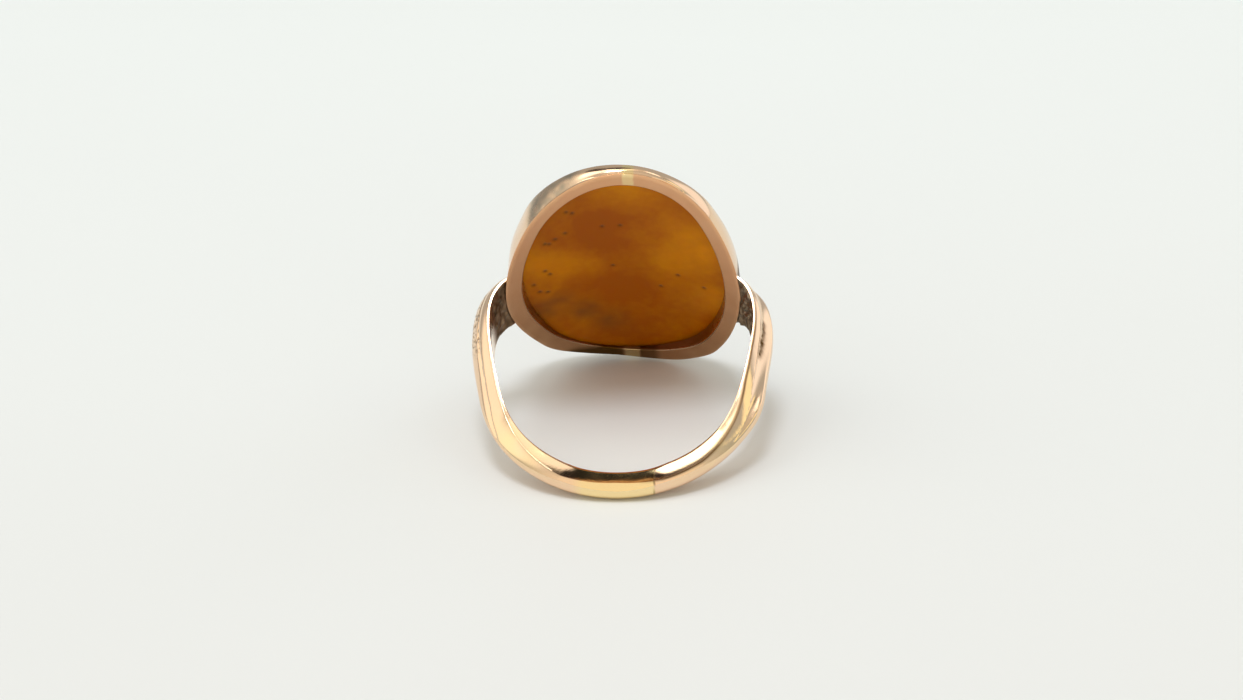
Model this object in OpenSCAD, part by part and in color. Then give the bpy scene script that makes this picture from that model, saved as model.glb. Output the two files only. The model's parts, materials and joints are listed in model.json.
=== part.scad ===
// Cameo ring: an oval shell cameo in an open-backed gold mount with forked shoulders.
// The ring is drawn with the finger hole along Z and the head on +Y, and is then
// tipped about X into the pose in which it rests on a table: on the lower end of
// the head's back rim and on the underside of the shank. The origin is the centre
// of the finger hole.

/* [Finger hole and shank] */
// Radius of the finger hole
finger_r = 9; // [7.5:0.1:11]
// Thickness of the shank at the bottom, across the finger hole's wall
shank_t = 1.75; // [1.2:0.05:2.4]
// Width of the shank at the bottom, along the finger
shank_w = 1.65; // [1.2:0.05:3]

/* [Shoulders] */
// Width of a shoulder where it meets the head
shoulder_w = 6; // [4:0.1:8]
// Height of a shoulder's middle ridge where it meets the head
ridge_t = 1.25; // [0.8:0.05:1.6]
// Height of the ribs along a shoulder's edges where they leave the shank
rib_t = 0.95; // [0.6:0.05:1.2]
// Height of the ribs where they meet the head
rib_end_t = 0.35; // [0.3:0.05:0.8]
// Width of a rib
rib_w = 0.9; // [0.6:0.05:1.2]
// Offset of the shoulders' seats from the middle of the head, along the finger
seat_offset = -0.35; // [-0.6:0.05:0.6]
// Height of a shoulder's seat over the back rim's side
seat_rise = 0.62; // [0.45:0.01:0.8]
// Depth to which a shoulder is let into the back rim, past the bezel's wall
seat_depth = 0.2; // [0.1:0.05:0.5]
// Outward bow of a shoulder beyond the finger hole's radius
shoulder_bow = 0.7; // [0.2:0.05:1.5]
// Angle from the bottom at which a shoulder leaves the round of the hole
leave_angle = 76; // [65:1:85]
// Angle from the bottom at which the ribs part from the shank
fork_angle = 55; // [45:1:64]

/* [Head] */
// Width of the head, across the finger
head_w = 17.5; // [14:0.1:20]
// Length of the head, along the finger
head_l = 23.7; // [18:0.1:26]
// Width of the flat rim round the open back
rim_w = 1.2; // [0.8:0.05:1.8]
// Radius of the saddle that hollows the back to the finger
saddle_r = 14; // [11:0.25:20]
// Turn of the saddle off the finger's line
saddle_turn = 5.8; // [0:0.2:8]
// Room between the finger hole and the back rim
finger_room = 0.1; // [0.05:0.05:1]
// Height of the bezel's wall at the ends of the head
end_wall_h = 1.2; // [1:0.05:3]
// Thickness of the bezel's wall
wall_t = 0.45; // [0.3:0.05:0.8]
// Radius across the finger of the bezel's front edge
front_r = 31; // [20:1:60]

/* [Cameo] */
// Thickness of the ledge behind the shell at the ends of the head
ledge_t = 0.28; // [0.2:0.05:0.8]
// Radius across the finger of the shell's hollow back
shell_back_r = 22; // [16:1:60]
// Thickness of the shell's edge
edge_t = 0.6; // [0.5:0.05:1.6]
// Width of the bezel's lip that is turned over the shell's edge
lip_w = 0.45; // [0.2:0.05:0.8]
// Rise of the shell's ground over its edge
ground_rise = 0.5; // [0.35:0.05:1.2]
// Gap left round the shell
shell_gap = 0.04; // [0.02:0.01:0.1]

/* [Carving] */
// Radius of the rose
rose_r = 3.8; // [2.5:0.1:4.8]
// Height of the rose's heart over the ground
rose_h = 1; // [0.6:0.05:1.4]
// Length of a leaf
leaf_l = 4.6; // [3:0.1:5.5]
// Height of a leaf over the ground
leaf_h = 0.4; // [0.2:0.05:0.7]

/* [Hidden] */
$fn = 96;

// Share of an oval's half width that its end arcs have as their radius
end_arc = 0.89;
// Width of a leaf as a share of its length, and the rose's place as a share of the open half length
leaf_slim = 0.42;
rose_place = 0.12;
// Length of the cutting bodies
reach = 80;
// Facets of the large cutting cylinders
round_fn = 180;

// Half sizes of the head
half_w = head_w / 2;
half_l = head_l / 2;
// Heights on the head along +Y, from the finger hole's centre
rim_n = finger_r + finger_room;
ledge_n = rim_n + ledge_t;
front_n = rim_n + end_wall_h;
side_rim_n = rim_n - saddle_r + sqrt(saddle_r * saddle_r - half_w * half_w);
// Thickness of the shell under its carving
ground_t = edge_t + ground_rise;

// Points along the outside of the band's section, rounding of its inner corners, share of its
// thickness that is straight side, slope of the ridge's foot, and share of a rib's height at its edges
outer_steps = 24;
corner = 0.14;
side_share = 0.42;
ridge_foot = 0.3;
rib_edge = 0.5;

function blend(a, b, t) = a + (b - a) * t;

// Height of the middle ridge, and of the wing with its rib, at z from the middle
function ridge(z, t, half) =
    z < half ? t * (side_share + (1 - side_share) * sqrt(1 - pow(z / half, 2)))
             : t * side_share * max(0, 1 - (z - half) / ridge_foot);
function wing(z, t, half) =
    let (off = (z - half + rib_w / 2) / (rib_w / 2))
    t * (off > -1 ? 1 - (1 - rib_edge) * off * off : rib_edge);

// A section of the band, as [out from the hole's wall, along the finger]
function section(half, ridge_t, rib_t) =
    concat(
        [[corner, -half], [0, corner - half], [0, half - corner], [corner, half]],
        [for (i = [outer_steps:-1:0])
            let (z = half * sin(180 * i / outer_steps - 90))
            [max(ridge(abs(z), ridge_t, shank_w / 2), wing(abs(z), rib_t, half)), z]]);

// Slope between the rim's lowest point and the point on which the shank stands at slope t
function tilt_from(t) =
    let (low = [for (q = section(shank_w / 2, shank_t, 0)) [-finger_r - q[0], q[1]]])
    let (heights = [for (q = low) q[0] * sin(t) + q[1] * cos(t)])
    let (foot = low[search(min(heights), heights)[0]])
    atan((foot[1] + half_l) / (rim_n - foot[0]));

// Rest: the slope of the line that the rim's end and the shank's underside stand on, from a guess
slope_guess = 25;
rest_tilt = tilt_from(tilt_from(tilt_from(slope_guess)));

// A shoulder's inner line runs round the hole to leave_angle, then bows out to its seat in the head
leave = finger_r * [sin(leave_angle), -cos(leave_angle)];
leave_dir = [cos(leave_angle), sin(leave_angle)];
seat = [half_w - wall_t - seat_depth, side_rim_n + seat_rise];
seat_angle = 24;
seat_dir = [-cos(seat_angle), sin(seat_angle)];
span = norm(seat - leave);
// Handles of the bow, as shares of its span
leave_handle = 0.36;
seat_handle = 0.3;
bow_a = leave + leave_dir * span * leave_handle;
bow_b = [(8 * (finger_r + shoulder_bow) - leave[0] - 3 * bow_a[0] - seat[0]) / 3,
         seat[1] - seat_dir[1] * span * seat_handle];
function bow(u) =
    pow(1 - u, 3) * leave + 3 * u * pow(1 - u, 2) * bow_a + 3 * u * u * (1 - u) * bow_b + pow(u, 3) * seat;
function bow_dir(u) =
    let (d = pow(1 - u, 2) * (bow_a - leave) + 2 * u * (1 - u) * (bow_b - bow_a) + u * u * (seat - bow_b))
    d / norm(d);

// Place p on an arm: 0 at the bottom of the shank, 1 where it leaves the round, 2 at the head
function arm_point(p) =
    p <= 1 ? finger_r * [sin(p * leave_angle), -cos(p * leave_angle)] : bow(p - 1);
function arm_dir(p) = p <= 1 ? [cos(p * leave_angle), sin(p * leave_angle)] : bow_dir(p - 1);

// Share of the way from the fork to the head at place p
lead = finger_r * (leave_angle - fork_angle) * PI / 180;
fork_share = lead / (lead + span);
function from_fork(p) =
    p <= 1 ? fork_share * (p * leave_angle - fork_angle) / (leave_angle - fork_angle)
           : fork_share + (1 - fork_share) * (p - 1);

// Sizes of an arm on the way from the fork, as shares of the change from shank to head
// [way, width, ridge height, rib height]
ARM = [
    [0.00, 0.00, 0.00, 0.00],
    [0.10, 0.10, 0.12, 0.00],
    [0.30, 0.32, 0.30, 0.20],
    [0.60, 0.62, 0.50, 0.50],
    [0.85, 0.88, 0.80, 0.85],
    [1.00, 1.00, 1.00, 1.00],
];
function share(column, way) = lookup(way, [for (row = ARM) [row[0], row[column]]]);

function arm_ring(p, side) =
    let (way = from_fork(p))
    let (half = blend(shank_w, shoulder_w, share(1, way)) / 2)
    let (rib = blend(rib_t, rib_end_t, share(3, way)))
    let (at = arm_point(p))
    let (dir = arm_dir(p))
    [for (q = section(half, blend(shank_t, ridge_t, share(2, way)), rib))
        [side * (at[0] + dir[1] * q[0]), at[1] - dir[0] * q[0], q[1] + seat_offset * max(0, way)]];

// Round part of the shank, between the forks
module shank() {
    rotate([0, 0, -90 - fork_angle]) rotate_extrude(angle = 2 * fork_angle, $fn = round_fn)
        polygon([for (q = section(shank_w / 2, shank_t, 0)) [finger_r + q[0], q[1]]]);
}

// Forked arm from the end of the shank's round part to its seat in the head, on side 1 or -1.
// Its root is let into the shank's end: it starts root_lap degrees inside, a little slimmer, and
// has its full size root_lap / 2 degrees past the end.
stations = 18;
root_lap = 1;
root_size = 0.97;
module arm(side) {
    root = arm_ring((fork_angle - root_lap) / leave_angle, side);
    first = (fork_angle + root_lap / 2) / leave_angle;
    rings = concat(
        [[for (q = root) blend(middle(root), q, root_size)]],
        [for (i = [0:stations]) arm_ring(blend(first, 2, i / stations), side)]);
    count = len(root);
    last = (stations + 1) * count;
    total = last + count;
    sides = [for (i = [0:count:last - 1], j = [0:count - 1])
        let (k = (j + 1) % count)
        each [
            [i + j, i + count + k, i + k],
            [i + j, i + count + j, i + count + k]]];
    ends = [for (j = [0:count - 1])
        let (k = (j + 1) % count)
        each [
            [total, j, k],
            [total + 1, last + k, last + j]]];
    faces = concat(sides, ends);
    polyhedron(
        points = concat([for (ring = rings) each ring], [middle(rings[0]), middle(rings[stations + 1])]),
        faces = side > 0 ? faces : [for (f = faces) [f[2], f[1], f[0]]],
        convexity = 6);
}

// Point inside a ring, from its inner corners and the crown of its outside
function middle(ring) = (ring[1] + ring[2] + 2 * ring[4 + outer_steps / 2]) / 4;

// Oval of four arcs, with a by b half sizes
module oval(a, b) {
    r = end_arc * a;
    c = b - r;
    big = (a * a + c * c - r * r) / (2 * (a - r));
    meet = c * big / (big - r);
    intersection() {
        translate([a - big, 0]) circle(big);
        translate([big - a, 0]) circle(big);
        square([4 * a, 2 * meet], center = true);
    }
    for (s = [-1, 1]) translate([0, s * c]) circle(r);
}

// Oval prism through the head, d smaller all round than the bezel's outside
module head_prism(d) {
    rotate([-90, 0, 0]) linear_extrude(reach / 2) oval(half_w - d, half_l - d);
}

// Cylinder along the finger whose crown is at height n
module crown(n, r) {
    translate([0, n - r, 0]) cylinder(r = r, h = reach, center = true, $fn = round_fn);
}

module saddle() {
    translate([0, rim_n - saddle_r, 0]) rotate([0, saddle_turn, 0])
        cylinder(r = saddle_r, h = reach, center = true, $fn = round_fn);
}

module head_block() {
    difference() {
        intersection() {
            head_prism(0);
            crown(front_n, front_r);
        }
        saddle();
    }
}

// Body of the shell, t thick and d inside the bezel's outside, with the gap round it taken off
module shell_body(d, t) {
    difference() {
        intersection() {
            head_prism(d + shell_gap);
            crown(ledge_n + t - shell_gap, shell_back_r + t - shell_gap);
        }
        crown(ledge_n + shell_gap, shell_back_r + shell_gap);
    }
}

// Place on the shell's ground, s across the finger and z along it
module on_ground(s, z) {
    r = shell_back_r + ground_t;
    translate([0, ledge_n - shell_back_r, z])
        rotate([0, 0, -s / r * 180 / PI])
            translate([0, r, 0]) children();
}

// Low dome on the ground, c in radius and h high
dome_fn = 64;
module dome(s, z, c, h) {
    r = (c * c + h * h) / (2 * h);
    on_ground(s, z) translate([0, h - r, 0]) sphere(r, $fn = dome_fn);
}

// Rings of petals: [ring radius, petal radius, height, count, turn], the first three as shares of the
// rose's radius and height
PETALS = [
    [0.62, 0.38, 0.45, 6, 0],
    [0.34, 0.32, 0.75, 5, 20],
    [0.00, 0.30, 1.00, 1, 0],
];
module rose(s, z) {
    for (ring = PETALS, i = [0:ring[3] - 1]) {
        a = ring[4] + 360 * i / ring[3];
        out = rose_r * ring[0];
        dome(s + out * cos(a), z + out * sin(a), rose_r * ring[1], rose_h * ring[2]);
    }
}

// Pointed leaf with a domed face, its middle at s, z
module leaf(s, z, turn) {
    w = leaf_l * leaf_slim;
    r = (leaf_l * leaf_l + w * w) / (4 * w);
    top = (leaf_l * leaf_l / 4 + leaf_h * leaf_h) / (2 * leaf_h);
    on_ground(s, z) rotate([0, turn, 0]) intersection() {
        translate([r - w / 2, 0, 0]) rotate([90, 0, 0]) cylinder(r = r, h = 2 * ground_t, center = true);
        translate([w / 2 - r, 0, 0]) rotate([90, 0, 0]) cylinder(r = r, h = 2 * ground_t, center = true);
        translate([0, leaf_h - top, 0]) sphere(top, $fn = dome_fn);
    }
}

// Leaves and buds, placed as shares of the half width and half length of the shell's open face
// [across, along, turn]
LEAVES = [
    [-0.50, -0.28, 50],
    [0.50, -0.28, -50],
    [-0.34, -0.62, 28],
    [0.34, -0.62, -28],
    [-0.40, 0.60, -32],
    [0.40, 0.60, 32],
];
// [across, along, radius, height] with the last two as shares of the rose's
BUDS = [
    [0.00, 0.78, 0.34, 0.60],
    [0.00, -0.84, 0.26, 0.45],
];
module carving() {
    open_w = half_w - wall_t - lip_w;
    open_l = half_l - wall_t - lip_w;
    rose(0, rose_place * open_l);
    for (l = LEAVES) leaf(l[0] * open_w, l[1] * open_l, l[2]);
    for (b = BUDS) dome(b[0] * open_w, b[1] * open_l, b[2] * rose_r, b[3] * rose_h);
}

module at_rest() {
    rotate([rest_tilt, 0, 0]) children();
}

// Room for the shell in the bezel, open to the front inside the lip
module shell_seat() {
    difference() {
        union() {
            intersection() {
                head_prism(wall_t);
                crown(ledge_n + edge_t, shell_back_r + edge_t);
            }
            head_prism(wall_t + lip_w);
        }
        crown(ledge_n, shell_back_r);
    }
}

module head() {
    difference() {
        head_block();
        head_prism(rim_w);
        shell_seat();
    }
}

module gold_mount() {
    color("#e3b088") at_rest() {
        shank();
        arm(1);
        arm(-1);
        head();
    }
}

module cameo_stone() {
    color("#b3650f") at_rest() {
        shell_body(wall_t, edge_t);
        shell_body(wall_t + lip_w, ground_t);
        difference() {
            intersection() {
                head_prism(wall_t + lip_w + shell_gap);
                carving();
            }
            crown(ledge_n + shell_gap, shell_back_r + shell_gap);
        }
    }
}

gold_mount();
cameo_stone();
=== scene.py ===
import json
import math

import bmesh
import bpy
from mathutils import Matrix, Vector, noise


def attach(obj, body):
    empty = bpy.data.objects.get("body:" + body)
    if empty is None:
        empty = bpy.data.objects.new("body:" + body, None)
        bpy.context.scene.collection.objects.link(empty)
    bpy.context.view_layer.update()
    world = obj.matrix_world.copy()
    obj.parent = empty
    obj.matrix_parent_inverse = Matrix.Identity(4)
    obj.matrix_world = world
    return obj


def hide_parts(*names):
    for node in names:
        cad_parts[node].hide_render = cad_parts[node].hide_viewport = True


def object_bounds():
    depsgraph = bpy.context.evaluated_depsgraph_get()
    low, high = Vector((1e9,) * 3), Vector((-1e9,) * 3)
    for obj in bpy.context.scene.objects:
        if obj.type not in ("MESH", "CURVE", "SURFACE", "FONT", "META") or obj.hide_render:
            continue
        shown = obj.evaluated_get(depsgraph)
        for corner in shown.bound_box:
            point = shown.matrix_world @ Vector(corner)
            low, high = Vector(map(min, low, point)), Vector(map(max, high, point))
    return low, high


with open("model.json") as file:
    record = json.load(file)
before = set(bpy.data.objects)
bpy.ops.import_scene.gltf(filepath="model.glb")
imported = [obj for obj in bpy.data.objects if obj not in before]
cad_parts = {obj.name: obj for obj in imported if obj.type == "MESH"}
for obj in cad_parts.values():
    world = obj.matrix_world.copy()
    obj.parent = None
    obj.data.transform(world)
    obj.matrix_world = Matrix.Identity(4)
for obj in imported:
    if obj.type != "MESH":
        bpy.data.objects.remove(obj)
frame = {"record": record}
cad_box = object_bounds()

# The ring is drawn in millimetres as the CAD draws it: the finger hole along z, the head on +y and
# its length along z. It is then tipped about x into its resting pose, in metres.
MM = 0.001
hole_axis = Vector(frame["record"]["mounts"][0]["axis"])
rest_tilt = math.atan2(-hole_axis.y, hole_axis.z)
AT_REST = Matrix.Rotation(rest_tilt, 4, "X") @ Matrix.Scale(MM, 4)

# Sizes that the CAD model has too, in millimetres and degrees
FINGER_R = 9.0
SHANK_T = 1.75
SHANK_W = 1.65
SHOULDER_W = 6.0
RIDGE_T = 1.25
RIB_T = 0.95
RIB_END_T = 0.35
RIB_W = 0.9
SEAT_OFFSET = -0.35
SEAT_RISE = 0.62
SEAT_DEPTH = 0.2
SHOULDER_BOW = 0.7
LEAVE_ANGLE = 76
FORK_ANGLE = 55
HEAD_W = 17.5
HEAD_L = 23.7
RIM_W = 1.2
SADDLE_R = 14.0
SADDLE_TURN = 5.8
RIM_N = FINGER_R + 0.1
FRONT_N = RIM_N + 1.2
WALL_T = 0.45
FRONT_R = 31.0
LEDGE_N = RIM_N + 0.28
SHELL_BACK_R = 22.0
EDGE_T = 0.6
LIP_W = 0.45
GROUND_T = EDGE_T + 0.5
SHELL_GAP = 0.04
ROSE_R = 3.8
ROSE_H = 1.0
LEAF_L = 4.6
LEAF_H = 0.4

HALF_W = HEAD_W / 2
HALF_L = HEAD_L / 2


def blend(a, b, share):
    return a + (b - a) * share


def ease(low, high, value):
    """Smooth step from 0 at low to 1 at high"""
    share = min(1.0, max(0.0, (value - low) / (high - low)))
    return share * share * (3 - 2 * share)


def between(value, stretch):
    """Smooth step up and down again. stretch holds where it starts, is full, is still full and ends."""
    start, full, still_full, end = stretch
    return ease(start, full, value) * ease(end, still_full, value)


def bump_at(value, middle, reach):
    """Smooth hump: 1 at middle, fading to nothing about twice reach away"""
    return math.exp(-((value - middle) / reach) ** 2)


def waves(point, size, seed=0.0):
    """Smooth noise between about -1 and 1, with lumps and hollows of about size millimetres"""
    return noise.noise(Vector(point) / size + Vector((seed, seed * 1.7, -seed)))


def linear(colour):
    """Linear RGBA from an sRGB hex colour"""
    parts = [int(colour[i:i + 2], 16) / 255 for i in (1, 3, 5)]
    return [p / 12.92 if p <= 0.04045 else ((p + 0.055) / 1.055) ** 2.4 for p in parts] + [1.0]


# Meshes

def loft(bm, rings, looks=None):
    """Draws the first ring of points as edges and extrudes them from ring to ring. looks holds a
    material number for each side of a ring."""
    verts = [bm.verts.new(point) for point in rings[0]]
    count = len(verts)
    edges = [bm.edges.new((verts[i], verts[(i + 1) % count])) for i in range(count)]
    for ring in rings[1:]:
        made = bmesh.ops.extrude_edge_only(bm, edges=edges)["geom"]
        fresh = {v for v in made if isinstance(v, bmesh.types.BMVert)}
        verts = [next(e.other_vert(v) for e in v.link_edges if e.other_vert(v) in fresh) for v in verts]
        for vert, point in zip(verts, ring):
            vert.co = point
        edges = [bm.edges.get((verts[i], verts[(i + 1) % count])) for i in range(count)]
        if looks:
            for edge, look in zip(edges, looks):
                edge.link_faces[0].material_index = look


def note(bm, name, worth):
    """Keeps worth(point) on each vertex, for a material to read. The point is in ring millimetres."""
    layer = bm.verts.layers.float.new(name)
    for vert in bm.verts:
        vert[layer] = worth(vert.co)


def piece(name, bm, materials, node, crease=40):
    """A finished piece from a bmesh in ring millimetres, which stands for a CAD node. Edges sharper
    than crease, in degrees, stay sharp in its shading."""
    bmesh.ops.remove_doubles(bm, verts=bm.verts, dist=0.0005)
    bmesh.ops.recalc_face_normals(bm, faces=bm.faces)
    place = bm.verts.layers.float_vector.new("ring_mm")
    for vert in bm.verts:
        vert[place] = vert.co
    bmesh.ops.transform(bm, matrix=AT_REST, verts=bm.verts)
    mesh = bpy.data.meshes.new(name)
    bm.to_mesh(mesh)
    bm.free()
    mesh.shade_smooth()
    mesh.set_sharp_from_angle(angle=math.radians(crease))
    for material in materials:
        mesh.materials.append(material)
    obj = bpy.data.objects.new(name, mesh)
    bpy.context.scene.collection.objects.link(obj)
    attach(obj, "root")
    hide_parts(node)
    return obj


# Materials

def add(tree, kind, settings=(), links=()):
    """A node with its settings and links. Names in small letters are the node's own settings, and
    other names and numbers are its sockets."""
    node = tree.nodes.new(kind)
    for key, value in dict(settings).items():
        if isinstance(key, str) and key.islower():
            setattr(node, key, value)
        else:
            node.inputs[key].default_value = value
    for key, output in dict(links).items():
        tree.links.new(output, node.inputs[key])
    return node


def new_material(name):
    """A material with nothing but its output and a Principled shader"""
    material = bpy.data.materials.new(name)
    material.use_nodes = True
    tree = material.node_tree
    return material, tree, tree.nodes["Principled BSDF"]


# Colours of the gold: where it is polished, on the rim's strip, of the solder, and of the dark film, brown
# and grey-green, which is real grime in some places and painted shade and painted dark reflections in others
ROSE_GOLD = "#f6d8b5"
PINK_GOLD = "#f4ceac"
RIM_ROSE = "#eebf94"
RIM_PINK = "#e8b388"
YELLOW_GOLD = "#f8dea8"
TARNISH_AND_SHADE = "#5e4014"
GREY_FILM_AND_REFLECTION = "#5c665e"
# Patterns in the gold, as noise to the millimetre: wear in clouds 2 mm across, and the grain of the
# last abrasive, drawn 0.1 mm across, coarser than the real one so that it shows
WEAR_PER_MM = 0.45
GRAIN_PER_MM = 9.0
GRAIN_DEPTH = 0.02
# Roughness that a full dark film adds, on painted shade as well as on real tarnish
FILM_ROUGH = 0.3


def rose_gold(name, rose, pink, smooth, rough, grain):
    """Low carat rose gold, an alloy rich in copper. Its colour wanders a little between rose and pink, and
    its roughness between smooth and rough, where wear has rubbed it. ring_mm places the patterns, yellow
    marks solder and the sizing piece, another attribute the share of a dark brown coat, which is real grime
    in places and painted shade and painted dark reflections in others, and grey where that coat is
    grey-green, in places a painted reflection."""
    material, tree, shader = new_material(name)
    place = add(tree, "ShaderNodeAttribute", {"attribute_name": "ring_mm"}).outputs["Vector"]
    yellow = add(tree, "ShaderNodeAttribute", {"attribute_name": "yellow"}).outputs["Fac"]
    tarnish_and_shade = add(tree, "ShaderNodeAttribute", {"attribute_name": "tarnish_and_shade"}).outputs["Fac"]
    grey = add(tree, "ShaderNodeAttribute", {"attribute_name": "grey"}).outputs["Fac"]
    clouds = add(tree, "ShaderNodeTexNoise", {"Scale": WEAR_PER_MM, "Detail": 4.0},
                 {"Vector": place}).outputs["Fac"]
    grit = add(tree, "ShaderNodeTexNoise", {"Scale": GRAIN_PER_MM, "Detail": 3.0},
               {"Vector": place}).outputs["Fac"]
    warm = add(tree, "ShaderNodeMix", {"data_type": "RGBA", 6: linear(rose), 7: linear(pink)},
               {0: clouds}).outputs[2]
    soldered = add(tree, "ShaderNodeMix", {"data_type": "RGBA", 7: linear(YELLOW_GOLD)},
                   {0: yellow, 6: warm}).outputs[2]
    film_and_shade = add(tree, "ShaderNodeMix", {"data_type": "RGBA", 6: linear(TARNISH_AND_SHADE), 7: linear(GREY_FILM_AND_REFLECTION)},
               {0: grey}).outputs[2]
    # The dark coat mixed in here is painted shade and painted dark reflections in many places, real grime in
    # others
    filmed_and_shaded = add(tree, "ShaderNodeMix", {"data_type": "RGBA"},
                 {0: tarnish_and_shade, 6: soldered, 7: film_and_shade}).outputs[2]
    tree.links.new(filmed_and_shaded, shader.inputs["Base Color"])
    worn = add(tree, "ShaderNodeMapRange",
               {"From Min": 0.3, "From Max": 0.7, "To Min": smooth, "To Max": rough},
               {"Value": clouds}).outputs[0]
    dull = add(tree, "ShaderNodeMath", {"operation": "MULTIPLY_ADD", 1: FILM_ROUGH}, {0: tarnish_and_shade, 2: worn})
    tree.links.new(dull.outputs[0], shader.inputs["Roughness"])
    rubbed = add(tree, "ShaderNodeBump", {"Strength": grain, "Distance": GRAIN_DEPTH * MM}, {"Height": grit})
    tree.links.new(rubbed.outputs["Normal"], shader.inputs["Normal"])
    shader.inputs["Metallic"].default_value = 1.0
    return material


# Filed, buffed and then worn on the hand, so it mirrors the room with a faint haze
polished_gold = rose_gold("polished_rose_gold", ROSE_GOLD, PINK_GOLD, 0.05, 0.16, 0.12)
# Rolled strip rubbed with fine emery and never buffed, so it has a soft, even sheen
satin_gold = rose_gold("satin_rose_gold", RIM_ROSE, RIM_PINK, 0.3, 0.45, 0.5)

# Colours of the shell: its brown and orange inner layer, stains, and its carved outer layer where it
# is thin and where it is thick
# The mix of brown and orange carries the painted backlight too
SHELL_BROWN = "#9a4e00"
SHELL_ORANGE = "#e29600"
SHELL_STAIN = "#5a3a1c"
THIN_LAYER = "#d9a06c"
THICK_LAYER = "#f6e6d2"
# Patterns in the shell, as noise to the millimetre: its clouds 3 mm across, its mottle 0.6 mm and the
# grain of the carved layer 0.4 mm
CLOUDS_PER_MM = 0.35
MOTTLE_PER_MM = 1.6
LAYER_PER_MM = 2.5
# Index of refraction of aragonite, which shell is made of
SHELL_IOR = 1.53


def shell_amber():
    """The helmet shell's inner layer, ground to a hollow with abrasives and polished by hand. Light goes a
    millimetre into it, so it glows orange-brown and clouded, with a weak gloss. The light shining through it
    from the front is also painted into its colour, lighter at its edges and darker in its middle."""
    material, tree, shader = new_material("polished_shell")
    place = add(tree, "ShaderNodeAttribute", {"attribute_name": "ring_mm"}).outputs["Vector"]
    painted_glow = add(tree, "ShaderNodeAttribute", {"attribute_name": "painted_glow"}).outputs["Fac"]
    stain = add(tree, "ShaderNodeAttribute", {"attribute_name": "stain"}).outputs["Fac"]
    clouds = add(tree, "ShaderNodeTexNoise", {"Scale": CLOUDS_PER_MM, "Detail": 5.0, "Distortion": 0.6},
                 {"Vector": place}).outputs["Fac"]
    mottle = add(tree, "ShaderNodeTexNoise", {"Scale": MOTTLE_PER_MM, "Detail": 6.0},
                 {"Vector": place}).outputs["Fac"]
    # Painted backlight moves the clouds towards orange where it is lighter and towards brown where it is
    # darker
    cloudy = add(tree, "ShaderNodeMath", {"operation": "MULTIPLY_ADD", 1: 0.5}, {0: clouds, 2: painted_glow})
    mottled = add(tree, "ShaderNodeMath", {"operation": "MULTIPLY_ADD", 1: 0.22},
                  {0: mottle, 2: cloudy.outputs[0]}).outputs[0]
    share = add(tree, "ShaderNodeMapRange", {"From Min": 0.2, "From Max": 1.2},
                {"Value": mottled}).outputs[0]
    amber = add(tree, "ShaderNodeMix",
                {"data_type": "RGBA", 6: linear(SHELL_BROWN), 7: linear(SHELL_ORANGE)},
                {0: share}).outputs[2]
    stained = add(tree, "ShaderNodeMix", {"data_type": "RGBA", 7: linear(SHELL_STAIN)},
                  {0: stain, 6: amber}).outputs[2]
    tree.links.new(stained, shader.inputs["Base Color"])
    shader.inputs["Roughness"].default_value = 0.3
    shader.inputs["IOR"].default_value = SHELL_IOR
    shader.inputs["Specular IOR Level"].default_value = 0.06
    shader.inputs["Subsurface Weight"].default_value = 0.6
    shader.inputs["Subsurface Radius"].default_value = (1.0, 0.35, 0.05)
    shader.inputs["Subsurface Scale"].default_value = 1.5 * MM
    rub = add(tree, "ShaderNodeBump", {"Strength": 0.15, "Distance": 0.02 * MM}, {"Height": mottle})
    tree.links.new(rub.outputs["Normal"], shader.inputs["Normal"])
    return material


def carved_shell():
    """The pale outer layer of the same shell, cut in relief with gravers and lightly polished. It is
    like porcelain where it is thick, and the brown ground shows through where it is thin."""
    material, tree, shader = new_material("carved_shell")
    place = add(tree, "ShaderNodeAttribute", {"attribute_name": "ring_mm"}).outputs["Vector"]
    depth = add(tree, "ShaderNodeAttribute", {"attribute_name": "height"}).outputs["Fac"]
    grain = add(tree, "ShaderNodeTexNoise", {"Scale": LAYER_PER_MM, "Detail": 5.0},
                {"Vector": place}).outputs["Fac"]
    layer = add(tree, "ShaderNodeMath", {"operation": "MULTIPLY_ADD", 1: 0.25}, {0: grain, 2: depth})
    share = add(tree, "ShaderNodeMapRange", {"From Min": 0.1, "From Max": 0.6}, {"Value": layer.outputs[0]})
    pale = add(tree, "ShaderNodeMix",
               {"data_type": "RGBA", 6: linear(THIN_LAYER), 7: linear(THICK_LAYER)},
               {0: share.outputs[0]}).outputs[2]
    tree.links.new(pale, shader.inputs["Base Color"])
    shader.inputs["Roughness"].default_value = 0.35
    shader.inputs["IOR"].default_value = SHELL_IOR
    shader.inputs["Subsurface Weight"].default_value = 0.2
    shader.inputs["Subsurface Radius"].default_value = (1.0, 0.6, 0.4)
    shader.inputs["Subsurface Scale"].default_value = 0.5 * MM
    rub = add(tree, "ShaderNodeBump", {"Strength": 0.1, "Distance": 0.02 * MM}, {"Height": grain})
    tree.links.new(rub.outputs["Normal"], shader.inputs["Normal"])
    return material


# The band: shank and forked shoulders in one

# A place on an arm is given by its way: 0 at the fork and 1 at the head, and below 0 on the shank, down
# to about -0.7 at the bottom. The table holds how far each size has grown from shank to head.
ARM_SHARES = (
    # way, width, ridge height, rib height
    (0.00, 0.00, 0.00, 0.00),
    (0.10, 0.10, 0.12, 0.00),
    (0.30, 0.32, 0.30, 0.20),
    (0.60, 0.62, 0.50, 0.50),
    (0.85, 0.88, 0.80, 0.85),
    (1.00, 1.00, 1.00, 1.00),
)

# Half the stretch of way over which the table's corners are smoothed
SHARE_BLUR = 0.06


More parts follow.
